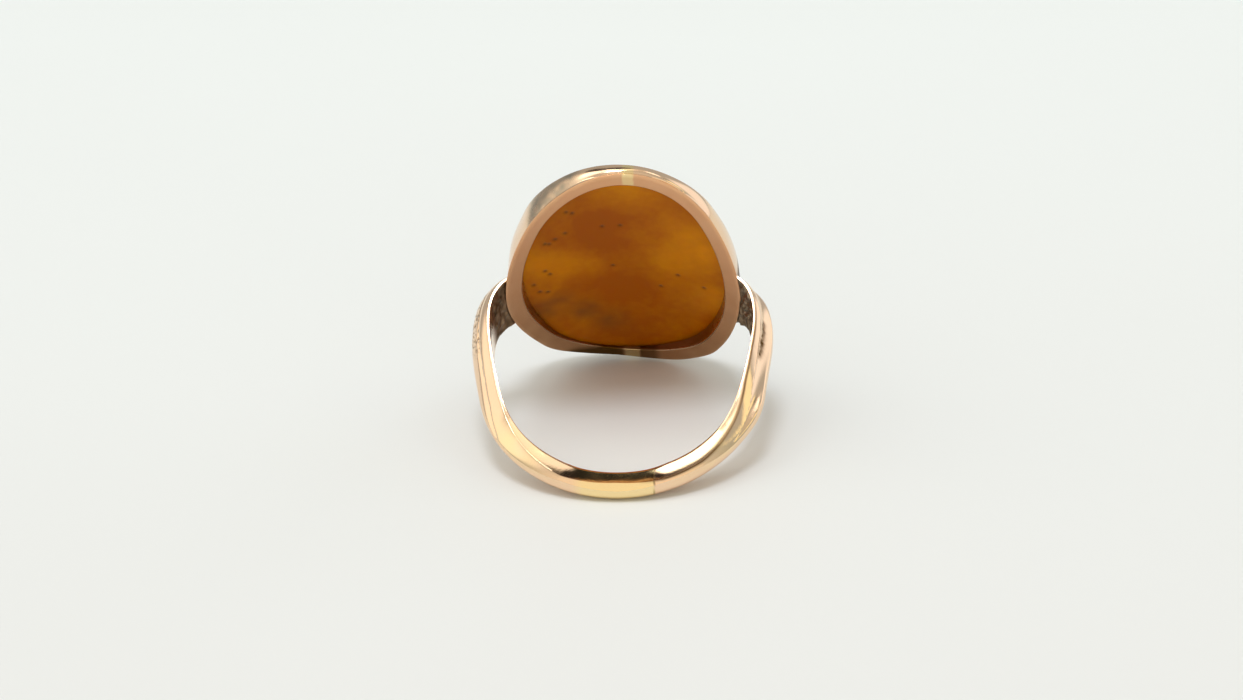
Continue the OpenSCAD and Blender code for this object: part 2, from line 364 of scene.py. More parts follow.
def table_share(column, way):
    way = min(1.0, max(0.0, way))
    for low, high in zip(ARM_SHARES, ARM_SHARES[1:]):
        if way <= high[0]:
            return blend(low[column], high[column], (way - low[0]) / (high[0] - low[0]))
    return 1.0


def arm_share(column, way):
    blur = min(SHARE_BLUR, 1 - way)
    return sum(table_share(column, way + blur * i / 2) for i in range(-2, 3)) / 5


LEAVE = math.radians(LEAVE_ANGLE)
leave = FINGER_R * Vector((math.sin(LEAVE), -math.cos(LEAVE)))
leave_dir = Vector((math.cos(LEAVE), math.sin(LEAVE)))
side_rim_n = RIM_N - SADDLE_R + math.sqrt(SADDLE_R ** 2 - HALF_W ** 2)
seat = Vector((HALF_W - WALL_T - SEAT_DEPTH, side_rim_n + SEAT_RISE))
SEAT_ANGLE = math.radians(24)
seat_dir = Vector((-math.cos(SEAT_ANGLE), math.sin(SEAT_ANGLE)))
span = (seat - leave).length
bow_a = leave + leave_dir * span * 0.36
bow_b = Vector(((8 * (FINGER_R + SHOULDER_BOW) - leave.x - 3 * bow_a.x - seat.x) / 3,
                seat.y - seat_dir.y * span * 0.3))
lead = FINGER_R * math.radians(LEAVE_ANGLE - FORK_ANGLE)
fork_share = lead / (lead + span)


def arm_line(place):
    """Point and direction of an arm's inner line: 0 at the bottom, 1 where it leaves the round, 2 at
    the head"""
    if place <= 1:
        turn = place * LEAVE
        point = FINGER_R * Vector((math.sin(turn), -math.cos(turn)))
        return point, Vector((math.cos(turn), math.sin(turn)))
    u = place - 1
    v = 1 - u
    point = v ** 3 * leave + 3 * u * v ** 2 * bow_a + 3 * u * u * v * bow_b + u ** 3 * seat
    ahead = v ** 2 * (bow_a - leave) + 2 * u * v * (bow_b - bow_a) + u * u * (seat - bow_b)
    return point, ahead.normalized()


def from_fork(place):
    """The way of a place on an arm"""
    if place <= 1:
        return fork_share * (place * LEAVE_ANGLE - FORK_ANGLE) / (LEAVE_ANGLE - FORK_ANGLE)
    return fork_share + (1 - fork_share) * (place - 1)


# On the far side the middle ridge is a half round down to this share of its height, with a foot, and
# the rib beyond it is lower at its edge by this share
SIDE_SHARE = 0.42
RIDGE_FOOT = 0.3
RIB_EDGE = 0.5
# Radius of the valley between ridge and rib there
VALLEY = 0.07
# Rounding of the band's edge along the hole on its far side
FAR_ROUND = 0.14
# On the near side that edge is a facet, whose outer edge stands this high over the hole's wall, by way
LEFT_FACET = ((-0.7, 1.04), (-0.41, 1.24), (-0.25, 0.96), (-0.1, 0.68), (0.0, 0.48), (0.15, 0.24),
              (0.5, 0.15), (1.0, 0.2))
RIGHT_FACET = ((-0.7, 1.04), (-0.47, 1.3), (-0.24, 1.3), (-0.1, 1.04), (0.0, 0.82), (0.15, 0.56),
               (0.3, 0.36), (0.5, 0.22), (1.0, 0.25))
# Painted dark reflection along the crease at the facet's outer edge: its strength by way, and half its width
LEFT_CREASE_REFLECTION = ((-0.5, 0.0), (-0.3, 0.3), (1.0, 0.3))
RIGHT_CREASE_REFLECTION = ((-0.6, 0.0), (-0.45, 0.9), (0.6, 0.9), (0.9, 0.4), (1.0, 0.4))
CREASE_REFLECTION_W = 0.1
# Slope of the facet in to the hole: along the hole, and at its outer edge on the left and on the right.
# Round the bottom of the ring it has slopes of its own.
INNER_LEAN = 0.05
LEFT_LEAN = 0.14
RIGHT_LEAN = 0.28
BOTTOM_INNER_LEAN = 0.12
BOTTOM_OUTER_LEAN = 0.28
# Ways over which the bottom's slopes fade out, and over which the right facet's bend moves outwards
INNER_FADE = (-0.5, -0.4)
OUTER_FADE = (-0.5, -0.25)
BEND_FADE = (-0.55, -0.4)
# Small rounding of the hole's near edge: out from the hole's wall, and along from the facet's foot
NEAR_EDGE = ((0.0, -0.08), (0.015, -0.02), (0.05, 0.0))
# The near half rises from the facet to the ridge in a curve of this power, on shank and shoulders
SHANK_POWER = 2.4
ARM_POWER = 1.8
# The left shoulder's groove, which starts at the fork: height over the hole's wall by way, depth and
# half width, and the swell of the broad strand between it and the facet
GROOVE_HEIGHT = ((0.0, 1.68), (0.2, 1.12), (0.4, 0.98), (0.6, 0.94), (1.0, 0.85))
GROOVE_DEPTH = 0.1
GROOVE_W = 0.1
STRAND_SWELL = 0.07
# The right shoulder's wide channel: how far from the middle it starts, its depth and the width of the
# narrow rib that it leaves along the edge
CHANNEL_START = 0.42
CHANNEL_DEPTH = 0.4
NARROW_RIB = 0.36
# Swelling of the ridge, made by hand: on the left from one way to another, on the right round a way
LEFT_SWELL = 0.2
LEFT_SWELL_WAY = (0.62, 0.9)
RIGHT_SWELL = 0.28
RIGHT_SWELL_WAY = (0.22, 0.17)
# Unevenness of the polished surface: its size and depth
RIPPLE = 1.3
RIPPLE_DEPTH = 0.008
# Worn engraving on the shoulders: size and depth of its pits, and where it lies. Left of the first
# line across the ring it is a patch, and right of the second one a streak.
PIT_SIZE = 0.2
ENGRAVED = 0.07
LEFT_PATCH_X = -9
LEFT_PATCH_Y = (0.6, 2.4, 6.2, 7.2)
LEFT_PATCH_Z = (0.0, 0.2, 1.0, 1.5)
RIGHT_STREAK_X = 10
RIGHT_STREAK_Y = (0.3, 1.0, 3.4, 4.1)
RIGHT_STREAK_Z = (0.78, 0.17)
# Points of the band's section: along the hole, round its far edge, across the facet and outside
INNER_POINTS = 36
ROUND_POINTS = 8
NEAR_POINTS = 12
OUTER_POINTS = 90


def table(rows, at):
    """Value of a table of (place, value) rows at a place"""
    for low, high in zip(rows, rows[1:]):
        if at <= high[0]:
            return blend(low[1], high[1], max(0.0, at - low[0]) / (high[0] - low[0]))
    return rows[-1][1]


def ridge(off, height):
    """Height of the middle ridge's far half, off from the middle"""
    half = SHANK_W / 2
    if off >= half:
        return height * SIDE_SHARE * max(0.0, 1 - (off - half) / RIDGE_FOOT)
    return height * (SIDE_SHARE + (1 - SIDE_SHARE) * math.sqrt(1 - (off / half) ** 2))


def wing(off, height, half):
    """Height of the far wing and the rib along its edge, off from the middle"""
    rise = (off - half + RIB_W / 2) / (RIB_W / 2)
    if rise <= -1:
        return height * RIB_EDGE
    return height * (1 - (1 - RIB_EDGE) * rise * rise)


def near_half(z, way, side, half, ridge_t, edge_t):
    """Height of the band's near half at z, with the left groove or the right channel"""
    power = blend(SHANK_POWER, ARM_POWER, ease(-0.1, 0.25, way))
    height = ridge_t + (edge_t - ridge_t) * (z / half) ** power
    if side < 0:
        sunk = min(0.99, max(0.0, ridge_t - table(GROOVE_HEIGHT, way)) / (ridge_t - edge_t))
        line = half * sunk ** (1 / power)
        height -= GROOVE_DEPTH * ease(-0.02, 0.06, way) * bump_at(z, line, GROOVE_W)
        if z > line:
            height += STRAND_SWELL * ease(-0.02, 0.1, way) * math.sin(math.pi * (z - line) / (half - line))
        return height
    end = max(CHANNEL_START + 0.1, half - NARROW_RIB)
    u = (2 * z - CHANNEL_START - end) / (end - CHANNEL_START)
    if abs(u) < 1:
        height -= CHANNEL_DEPTH * ease(-0.08, 0.2, way) * (1 - u * u)
    return height


def outside(z, way, side, half, ridge_t, rib_t, edge_t):
    """Height of the band's outside at z"""
    if z >= 0:
        return near_half(z, way, side, half, ridge_t, edge_t)
    one, other = ridge(-z, ridge_t), wing(-z, rib_t, half)
    return (one + other + math.hypot(one - other, VALLEY)) / 2


def section(half, ridge_t, rib_t, edge, way, side):
    """Outline of the band's section as [out from the hole's wall, along the finger]. edge is the height
    of the facet's outer edge."""
    crest = []
    for i in range(OUTER_POINTS, -1, -1):
        z = half * math.sin(math.pi * (i / OUTER_POINTS - 0.5))
        crest.append((outside(z, way, side, half, ridge_t, rib_t, edge), z))
    points = []
    for i in range(ROUND_POINTS + 1):
        turn = math.pi / 2 * i / ROUND_POINTS
        points.append((FAR_ROUND * (1 - math.sin(turn)), -half + FAR_ROUND * (1 - math.cos(turn))))
    # The facet leans more and more towards its outer edge, later so on the right
    inner = blend(BOTTOM_INNER_LEAN, INNER_LEAN, ease(*INNER_FADE, way))
    outer = blend(BOTTOM_OUTER_LEAN, RIGHT_LEAN if side > 0 else LEFT_LEAN, ease(*OUTER_FADE, way))
    bend = 1 + 2 * ease(*BEND_FADE, way) if side > 0 else 1.0
    more = outer - inner
    foot = half - edge * (inner + more / (bend + 1))
    for i in range(1, INNER_POINTS):
        points.append((0.0, blend(FAR_ROUND - half, foot + NEAR_EDGE[0][1], i / INNER_POINTS)))
    points += [(out, foot + along) for out, along in NEAR_EDGE]
    for i in range(2, NEAR_POINTS):
        share = i / NEAR_POINTS
        rest = inner * (1 - share) + more * (1 - share ** (bend + 1)) / (bend + 1)
        points.append((edge * share, half - edge * rest))
    return points + crest


def worn(p):
    """Share of the worn engraving's full depth: a patch of the left shoulder by its groove, and a streak
    in the right one's channel"""
    if p.x > RIGHT_STREAK_X:
        return bump_at(p.z, *RIGHT_STREAK_Z) * between(p.y, RIGHT_STREAK_Y)
    if p.x < LEFT_PATCH_X:
        return between(p.y, LEFT_PATCH_Y) * between(p.z, LEFT_PATCH_Z)
    return 0.0


def pitted(p):
    """Depth of the worn engraving's separate pits, as a share"""
    return worn(p) * min(1.0, 4 * max(0.0, waves(p, PIT_SIZE) - 0.05))


# Rough solder inside the shoulders, next to the rim: height and size of its lumps, the height in the
# ring at which it starts and is full, the height at which the lumps start, and its share on the left
LUMP_H = 0.26
LUMP_SIZE = 0.4
SOLDER_FROM = (4.2, 5.0)
LUMPS_FROM = 4.8
LEFT_SOLDER = 0.5
# Painted shade on the inner faces of the shoulders, where they rise to the head: the height in the ring at
# which it starts on each side, and the stretch over which it becomes full. Farther from the hole's wall than
# INSIDE_OUT there is none.
LEFT_SHADE_FROM = 3.0
RIGHT_SHADE_FROM = 1.6
SHADE_RISE = 1.8
INSIDE_OUT = 0.05
# The end of a shoulder lies this far behind the rim's face
RIM_COVER = 0.18


def soldered(p):
    """Share of the rough solder inside a shoulder, next to the rim"""
    return ease(*SOLDER_FROM, p.y) * (1.0 if p.x > 0 else LEFT_SOLDER)


# Painted shade and painted dark reflections on the band by its point, kept while its rings are drawn, for
# the band's dark film
kept_painted_dark = {}


def band_ring(place):
    """Section of the band at a place from -2, the left seat, to 2, the right seat"""
    side = -1 if place < 0 else 1
    place = abs(place)
    way = from_fork(place)
    half = blend(SHANK_W, SHOULDER_W, arm_share(1, way)) / 2
    ridge_t = blend(SHANK_T, RIDGE_T, arm_share(2, way))
    if side < 0:
        ridge_t += LEFT_SWELL * ease(*LEFT_SWELL_WAY, way)
    else:
        ridge_t += RIGHT_SWELL * bump_at(way, *RIGHT_SWELL_WAY)
    rib = blend(RIB_T, RIB_END_T, arm_share(3, way)) * ease(-0.05, 0.02, way)
    point, ahead = arm_line(place)
    along, across = Vector((side * ahead.y, -ahead.x, 0)), Vector((side * point.x, point.y, 0))
    edge = table(LEFT_FACET if side < 0 else RIGHT_FACET, way)
    # Strength of the painted dark reflection along the facet's crease here
    crease_reflection = table(LEFT_CREASE_REFLECTION if side < 0 else RIGHT_CREASE_REFLECTION, way)
    shade_from = LEFT_SHADE_FROM if side < 0 else RIGHT_SHADE_FROM
    ring = []
    for out, z in section(half, ridge_t, rib, edge, way, side):
        p = across + along * out + Vector((0, 0, z + SEAT_OFFSET * max(0.0, way)))
        if out > 0:
            p -= along * ENGRAVED * pitted(p) + Vector((0, 0, RIPPLE_DEPTH)) * (1 + waves(p, RIPPLE))
        if out > 0.3:
            p -= along * RIPPLE_DEPTH * (1 + waves(p, RIPPLE, 3))
        if out == 0 and p.y > LUMPS_FROM:
            p -= along * LUMP_H * soldered(p) * max(0.0, 0.25 + waves(p, LUMP_SIZE))
        if way > 0.5 and inset_at(p.x, p.z) > -0.02:
            p.y = max(p.y, saddle(p.x, p.z) + RIM_COVER)
        ring.append(p)
        # Painted shade on the shoulders' inner faces, darkest near the head
        if out <= INSIDE_OUT and p.y > 1.5:
            inside = ease(shade_from, shade_from + SHADE_RISE, p.y)
            kept_painted_dark[p.to_tuple(4)] = inside * (0.85 + 0.2 * waves(p, 0.5))
        elif z > 0.5 and crease_reflection:
            # On the right the painted dark reflection spreads over the facet too
            reach = CREASE_REFLECTION_W if out >= edge or side < 0 else 2 * CREASE_REFLECTION_W
            kept_painted_dark[p.to_tuple(4)] = crease_reflection * bump_at(math.hypot(out - edge, z - half), 0, reach)
    return ring


# Sections along the whole band
BAND_STATIONS = 480
# The yellow piece let in at the bottom to size the ring, with a soft join on the left and a sharp one
# on the right, and the dark line of that join: its place, half width and darkness
SIZING_PIECE = (-3.4, -2.3, 2.7, 2.74)
JOIN_LINE = (2.72, 0.035)
JOIN_DARK = 0.75
# Yellow solder along the forks: angle from the bottom, reach in degrees and strength
FORK_SOLDER = (46, 16)
FORK_YELLOW = 0.75


def band_yellow(p):
    """Share of yellow gold at a point of the band"""
    turn = math.degrees(math.atan2(p.x, -p.y))
    piece_in = between(p.x, SIZING_PIECE) if p.y < 0 else 0.0
    patchy = 0.7 + 0.6 * waves(p, 1.2)
    fork = FORK_YELLOW * bump_at(abs(turn), *FORK_SOLDER) * ease(0.0, 0.5, p.z) * patchy
    return min(1.0, max(piece_in, fork))


def band_tarnish_and_shade(p):
    """Share of dark coat at a point of the band: painted shade inside the shoulders and a painted dark
    reflection along the facet's crease, with real grime in the worn engraving and a dark line in the sizing
    piece's join"""
    join = JOIN_DARK * bump_at(p.x, *JOIN_LINE) if p.y < 0 else 0.0
    streak = 0.85 * worn(p) * (1 + 0.3 * waves(p, 0.3)) if p.x > RIGHT_STREAK_X else 0.0
    # The kept marks are painted shade and painted dark reflections
    return min(1.0, join + streak + 0.8 * pitted(p) + kept_painted_dark.get(p.to_tuple(4), 0.0))


def band():
    bm = bmesh.new()
    places = [4 * i / BAND_STATIONS - 2 for i in range(BAND_STATIONS + 1)]
    rings = [band_ring(place) for place in places]
    middles = [sum(ring, Vector()) / len(ring) for ring in (rings[0], rings[-1])]
    rings = [[middles[0]] * len(rings[0])] + rings + [[middles[1]] * len(rings[0])]
    loft(bm, rings)
    note(bm, "yellow", band_yellow)
    note(bm, "tarnish_and_shade", band_tarnish_and_shade)
    # Grey-green over the solder, where the painted shade inside the shoulders lies
    note(bm, "grey", lambda p: 0.5 * soldered(p))
    return piece("band", bm, [polished_gold], "gold_mount")


# The bezel: an oval of four arcs, swept with its section

# The end arcs' radius and centre, the side arcs' radius, and the angle at which they meet
END_R = 0.89 * HALF_W
END_C = HALF_L - END_R
SIDE_R = (HALF_W ** 2 + END_C ** 2 - END_R ** 2) / (2 * (HALF_W - END_R))
MEET = math.atan2(END_C, SIDE_R - HALF_W)


def oval(turn, inset):
    """Point of the head's outline whose normal has that angle, moved in by inset, as (x, z)"""
    turn = turn % (2 * math.pi)
    flat = min(turn, abs(turn - math.pi), 2 * math.pi - turn)
    if flat < MEET:
        side = -1 if math.pi / 2 < turn < 3 * math.pi / 2 else 1
        cx, cz, radius = side * (HALF_W - SIDE_R), 0.0, SIDE_R
    else:
        cx, cz, radius = 0.0, END_C if turn < math.pi else -END_C, END_R
    return cx + (radius - inset) * math.cos(turn), cz + (radius - inset) * math.sin(turn)


def oval_turns(step):
    """Normal angles round the outline, about step millimetres apart"""
    turns = []
    for start, end, radius in ((-MEET, MEET, SIDE_R), (MEET, math.pi - MEET, END_R),
                               (math.pi - MEET, math.pi + MEET, SIDE_R),
                               (math.pi + MEET, 2 * math.pi - MEET, END_R)):
        count = round((end - start) * radius / step)
        turns += [blend(start, end, i / count) for i in range(count)]
    return turns


def crown(x, height, radius):
    """Height at x of a round arch that is height in the middle"""
    return height - radius + math.sqrt(radius ** 2 - x ** 2)


# The head's surfaces, as heights over the finger's axis: the rim's face, the ledge under the shell, its
# seat and the front


def saddle(x, z):
    turn = math.radians(SADDLE_TURN)
    return crown(x * math.cos(turn) - z * math.sin(turn), RIM_N, SADDLE_R)


def ledge(x, z):
    return crown(x, LEDGE_N, SHELL_BACK_R)


def seat_top(x, z):
    return crown(x, LEDGE_N + EDGE_T, SHELL_BACK_R + EDGE_T)


def front(x, z):
    return crown(x, FRONT_N, FRONT_R)


# Material numbers of the bezel's sides
POLISHED = 0
SATIN = 1
# Rounding of the rim's inner edge, and width and depth of that of its outer edge
EDGE_ROUND = 0.07
OUTER_ROUND = 0.36
OUTER_FALL = 0.14
# Rounding of the lip outside, and how thin it is at the shell
LIP_ROUND = 0.22
LIP_THIN = 0.35
# Thickness of the rim's plate, how much thinner it is at its edge, and the crease where it is soldered
# to the wall
PLATE_T = 0.26
PLATE_STEP = 0.04
CREASE = 0.06
# Depth and size of the hammer's marks on the wall
HAMMERED = 0.05
HAMMER_MARK = 2.6
# Bulge of the wall's middle over its ends
BULGE = 0.08
RIM_POINTS = 10
OPENING_POINTS = 6
LIP_POINTS = 8
WALL_POINTS = 18
# Angles through a quarter turn
QUARTER = [math.pi / 6 * i for i in range(4)]
FINE_QUARTER = [math.pi / 12 * i for i in range(7)]

# Hand-made unevenness of the outline: normal angle in degrees, millimetres outward, reach in degrees
OUTLINE_DENTS = (
    (222, 0.2, 14),
    (262, -0.2, 14),
    (296, 0.12, 12),
    (345, -0.16, 16),
)


def dent(turn):
    """Millimetres by which the outline stands out at a normal angle"""
    degrees = math.degrees(turn) % 360
    return sum(out * bump_at(degrees, middle, reach) for middle, out, reach in OUTLINE_DENTS)


def bezel_rows():
    """The bezel's section as rows of inset from the outline, lower surface, upper surface, share from
    one to the other, lift and the material of the side that follows"""
    rows = []
    for bend in FINE_QUARTER:
        rows.append((OUTER_ROUND * (1 - math.cos(bend)), saddle, saddle, 0,
                     OUTER_FALL * (1 - math.sin(bend)), SATIN))
    for i in range(1, RIM_POINTS):
        rows.append((blend(OUTER_ROUND, RIM_W - EDGE_ROUND, i / RIM_POINTS), saddle, saddle, 0, 0.0, SATIN))
    for bend in QUARTER:
        rows.append((RIM_W - EDGE_ROUND * (1 - math.sin(bend)), saddle, saddle, 0,
                     EDGE_ROUND * (1 - math.cos(bend)), POLISHED))
    for i in range(1, OPENING_POINTS + 1):
        share = i / OPENING_POINTS
        rows.append((RIM_W, saddle, ledge, share, EDGE_ROUND * (1 - share), POLISHED))
    rows.append((WALL_T, ledge, ledge, 0, 0.0, POLISHED))
    rows.append((WALL_T, seat_top, seat_top, 0, 0.0, POLISHED))
    rows.append((WALL_T + LIP_W, seat_top, seat_top, 0, 0.0, POLISHED))
    # The lip is burnished down on the shell, so it thins towards its edge
    for i in range(1, LIP_POINTS + 1):
        share = i / LIP_POINTS
        rows.append((blend(WALL_T + LIP_W, LIP_ROUND + BULGE, share ** 1.5), seat_top, front,
                     blend(LIP_THIN, 1.0, math.sqrt(share)), 0.0, POLISHED))
    for bend in QUARTER[1:]:
        rows.append((BULGE + LIP_ROUND * (1 - math.sin(bend)), front, front, 0,
                     -LIP_ROUND * (1 - math.cos(bend)), POLISHED))
    for i in range(1, WALL_POINTS):
        share = i / WALL_POINTS
        rows.append((BULGE * (2 * share - 1) ** 2, front, saddle, share,
                     blend(-LIP_ROUND, PLATE_T + CREASE, share), POLISHED))
    rows.append((BULGE, saddle, saddle, 0, PLATE_T + CREASE / 2, POLISHED))
    rows.append((BULGE + CREASE, saddle, saddle, 0, PLATE_T, POLISHED))
    rows.append((0.0, saddle, saddle, 0, PLATE_T - PLATE_STEP, POLISHED))
    return rows


def inset_at(x, z):
    """Distance of a point from the head's outline"""
    across = abs(x) + SIDE_R - HALF_W
    if math.atan2(abs(z), across) < MEET:
        return SIDE_R - math.hypot(across, z)
    return END_R - math.hypot(x, abs(z) - END_C)


# Yellow solder across the rim at the head's two ends
TOP_SEAM = (0.42, 0.52, 1.22, 1.32)
BOTTOM_SEAM = (-0.7, -0.5, 0.5, 0.7)
SEAMS_FROM = 9
# Dull film beside the bottom seam: across the ring on the left and on the right with its strength, and
# the places along the head at which it starts and is full
LEFT_FILM = (-6.5, -4.5, -0.9, -0.4)
LEFT_FILM_SHARE = 0.55
RIGHT_FILM = (0.5, 0.7, 1.6, 2.4)
RIGHT_FILM_SHARE = 0.4
BOTTOM_FILM_FROM = (-9.5, -10.5)
# A point this high over the rim's face is on the wall
WALL_FROM = 0.12
# Painted reflections on the wall: a grey-green patch on its upper left and a dark stretch beside it, as
# angle round the end in degrees, and their strength
GREY_REFLECTION = (106, 116, 142, 152)
GREY_REFLECTION_SHARE = 0.6
DARK_REFLECTION_STRETCH = (101, 7)
DARK_REFLECTION_SHARE = 0.15
# Painted shade in the corners behind the shoulders, over rough solder: half its length on each side, and its
# strength
RIGHT_CORNER = 3.0
LEFT_CORNER = 2.4
CORNER_SHADE_SHARE = 0.9


def bezel_yellow(p):
    """Share of yellow solder at a point of the bezel"""
    if p.z > SEAMS_FROM:
        return between(p.x, TOP_SEAM)
    if p.z < -SEAMS_FROM:
        return between(p.x, BOTTOM_SEAM)
    return 0.0


def end_turn(p):
    """Angle in degrees round the head's top end, from +x"""
    return math.degrees(math.atan2(max(0.0, p.z - END_C), p.x))


def grey_reflection(p):
    """Share of the painted grey-green reflection on the wall's upper left"""
    if p.y - saddle(p.x, p.z) < WALL_FROM:
        return 0.0
    return between(end_turn(p), GREY_REFLECTION) * (0.8 + 0.4 * waves(p, 0.5))


def bezel_tarnish_and_shade(p):
    """Share of dark coat on the bezel: hardly any at the top end and more towards the bottom, which is
    painted shade; more on the opening's wall; grime that handling leaves round the bottom seam; painted
    reflections on the wall; and painted shade in the corners behind the shoulders"""
    # Painted shade: darker towards the bottom end
    film_and_shade = 0.08 + 0.42 * ease(8, -9, p.z)
    beside_seam = LEFT_FILM_SHARE * between(p.x, LEFT_FILM) + RIGHT_FILM_SHARE * between(p.x, RIGHT_FILM)
    film_and_shade += beside_seam * ease(*BOTTOM_FILM_FROM, p.z)
    over = p.y - saddle(p.x, p.z)
    if over > WALL_FROM:
        # On the wall the dark coat is half as strong as on the rim, and the painted reflections are added
        film_and_shade = 0.5 * film_and_shade + GREY_REFLECTION_SHARE * grey_reflection(p) + DARK_REFLECTION_SHARE * bump_at(end_turn(p), *DARK_REFLECTION_STRETCH)
    # Darker on the opening's wall
    in_opening = ease(RIM_W - 0.05, RIM_W - 0.01, inset_at(p.x, p.z)) * ease(0.08, 0.16, over)
    film_and_shade += 0.5 * in_opening
    # Painted shade in the corners behind the shoulders
    return min(1.0, film_and_shade * (1 + 0.15 * waves(p, 1.5)) + CORNER_SHADE_SHARE * in_corner(p))


def in_corner(p):
    """Share of the corner between wall and shoulder, where solder gathers and shade is painted"""
    over = p.y - saddle(p.x, p.z)
    reach = RIGHT_CORNER if p.x > 0 else LEFT_CORNER
    return ease(reach, reach - 1, abs(p.z + 0.4)) * ease(8.2, 8.5, abs(p.x)) * ease(0.3, 0.5, over)


# Length of the bezel's faces round the outline
BEZEL_STEP = 0.12


def bezel():
    bm = bmesh.new()
    rows = bezel_rows()
    rings = []
    for turn in oval_turns(BEZEL_STEP):
        ring = []
        for inset, low, high, share, lift, look in rows:
            # The outline's dents fade from the outside of the wall to the opening
            inset -= dent(turn) * ease(RIM_W, 0.0, inset)
            if look == POLISHED and inset < LIP_ROUND:
                # Hammer marks, on the wall's outside only
                x, z = oval(turn, inset)
                inset += HAMMERED * (1 + waves((x, 3 * share, z), HAMMER_MARK))
            x, z = oval(turn, inset)
            p = Vector((x, blend(low(x, z), high(x, z), share) + lift, z))
            ring.append(p)
        rings.append(ring)
    rings.append(rings[0])
    loft(bm, rings, [row[-1] for row in rows])
    note(bm, "yellow", bezel_yellow)
    note(bm, "tarnish_and_shade", bezel_tarnish_and_shade)
    # Grey-green painted reflection on the wall's upper left
    note(bm, "grey", grey_reflection)
    return piece("bezel", bm, [polished_gold, satin_gold], "gold_mount")


# The cameo: a shell with a hollow back, and its carved layer

# Pits of the hollow back, as across and along in millimetres, with their radius and depth
PITS = (
    (-6.85, -0.76), (-6.49, -1.85), (-5.91, -2.11), (-5.66, 4.02), (-5.37, 3.91), (-4.12, 4.89),
    (-0.04, 5.29), (-1.37, 5.25), (-0.86, 0.23), (5.92, -1.76), (4.0, -0.66), (2.63, -2.38),
    (-3.86, 7.44), (-3.44, 7.21), (-4.9, 4.37), (-5.59, 0.13), (-5.92, 0.66),
)
PIT_R = 0.16
PIT_DEPTH = 0.07
# Painted backlight: lighter places where light shining through the shell is painted, and darker ones where
# less of it is painted: across, along, reach, strength
PAINTED_GLOWS = (
    (-6.57, 1.84, 2.2, 0.35), (-3.28, 1.11, 2.2, 0.2), (5.8, 3.24, 2.6, 0.4), (3.09, 0.97, 1.8, 0.15),
    (6.72, -2.88, 2.0, 0.35), (0.68, -9.08, 2.4, -0.15), (-1.58, 4.27, 3.0, -0.25),
    (-0.52, -2.95, 2.6, -0.3), (-1.39, 7.36, 2.6, -0.1), (0.5, 10.0, 2.4, 0.3),
)
# Deeper places of the hollow back: across, along, reach, depth
HOLLOWS = (
    (5.5, -6.5, 3.2, 0.32), (0.5, -9.6, 2.2, 0.12), (-6.5, -5.0, 2.4, 0.15),
)
# Brown stains: across, along, reach, strength
STAINS = (
    (-5.1, -3.35, 1.0, 0.35), (-3.33, -5.23, 1.2, 0.55), (-1.52, -6.91, 1.3, 0.5), (-6.72, -4.69, 1.4, 0.5),
)


def near(p, x, z, reach):
    """Smooth hump: 1 at the place (x, z), fading to nothing about twice reach away"""
    return math.exp(-((p.x - x) ** 2 + (p.z - z) ** 2) / reach ** 2)


def pit_at(p):
    return max(near(p, x, z, PIT_R) for x, z in PITS)


def painted_glow_at(p):
    return sum(strength * near(p, x, z, reach) for x, z, reach, strength in PAINTED_GLOWS)


def stain_at(p):
    cloud = sum(strength * near(p, x, z, reach) for x, z, reach, strength in STAINS)
    return min(1.0, cloud * (1 + 0.5 * waves(p, 0.8)) + 0.9 * pit_at(p))


# Rings of faces of the hollow back and of the ground in front, and length of the faces round them
BACK_RINGS = 105
GROUND_RINGS = 30
SHELL_STEP = 0.155
# Insets of the shell's edge, which lies under the lip, and of its ground, which stands in the opening
SHELL_EDGE = WALL_T + SHELL_GAP
GROUND_EDGE = WALL_T + LIP_W + SHELL_GAP
# The ground rises from its edge to full thickness over one part in this many of the way to its middle
GROUND_SLOPE = 9


def shell():
    bm = bmesh.new()
    edge = [oval(turn, SHELL_EDGE) for turn in oval_turns(SHELL_STEP)]
    inner = [oval(turn, GROUND_EDGE) for turn in oval_turns(SHELL_STEP)]
    rings = []
    for i in range(BACK_RINGS + 1):
        share = i / BACK_RINGS
        ring = [Vector((x * share, 0, z * share)) for x, z in edge]
        for p in ring:
            p.y = crown(p.x, LEDGE_N + SHELL_GAP, SHELL_BACK_R + SHELL_GAP) + PIT_DEPTH * pit_at(p)
            p.y += sum(depth * near(p, x, z, reach) for x, z, reach, depth in HOLLOWS)
        rings.append(ring)

    def layer(outline, thick, share=1.0):
        """The outline drawn in to a share of its size, thick over the shell's back"""
        return [Vector((x * share, crown(x * share, LEDGE_N + thick, SHELL_BACK_R + thick), z * share))
                for x, z in outline]

    rings.append(layer(edge, EDGE_T - SHELL_GAP))
    rings.append(layer(inner, EDGE_T - SHELL_GAP))
    for i in range(GROUND_RINGS + 1):
        share = i / GROUND_RINGS
        thick = blend(EDGE_T, GROUND_T - SHELL_GAP, math.sqrt(min(1.0, share * GROUND_SLOPE)))
        rings.append(layer(inner, thick, 1 - share))

    def back_stain(p):
        """Stains are on the hollow back only"""
        return stain_at(p) if p.y < crown(p.x, LEDGE_N + 0.8 * EDGE_T, SHELL_BACK_R) else 0.0

    loft(bm, rings)
    # Painted backlight: lighter at the sides and the top end, darker in the middle and at the bottom end
    note(bm, "painted_glow", painted_glow_at)
    note(bm, "stain", back_stain)
    return piece("cameo_shell", bm, [shell_amber()], "cameo_stone")


